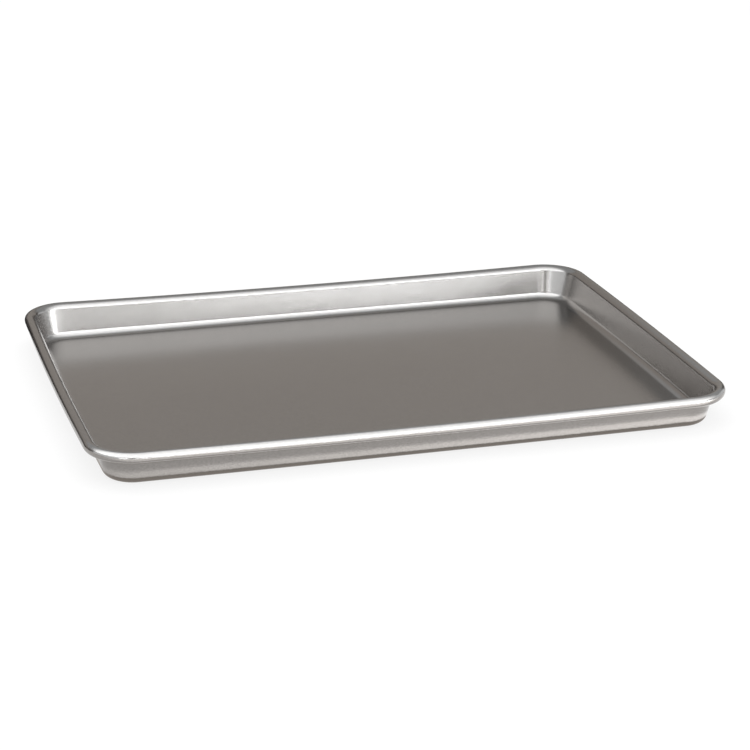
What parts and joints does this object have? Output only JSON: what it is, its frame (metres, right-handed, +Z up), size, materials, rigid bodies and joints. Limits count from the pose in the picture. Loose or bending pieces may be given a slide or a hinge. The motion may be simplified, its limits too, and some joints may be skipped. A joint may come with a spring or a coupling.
{
  "type": "jelly roll pan",
  "caption": "Shallow rectangular steel baking pan with a flat floor, rounded corners, low leaning walls and a broad rim rolled over a wire.",
  "frame": {"origin": "on the surface that the pan stands on, under the middle of the pan", "axes": "+X along the pan's length, +Y across it to the long side where the rim wire's ends meet, +Z up"},
  "size_m": [0.457, 0.33, 0.027],
  "materials": {
    "coated_sheet": "satin warm grey metallic baked coating",
    "steel_wire": "drawn zinc-coated wire"
  },
  "bodies": {
    "root": {"pan_body": "coated_sheet", "rim_wire": "steel_wire"}
  },
  "joints": []
}
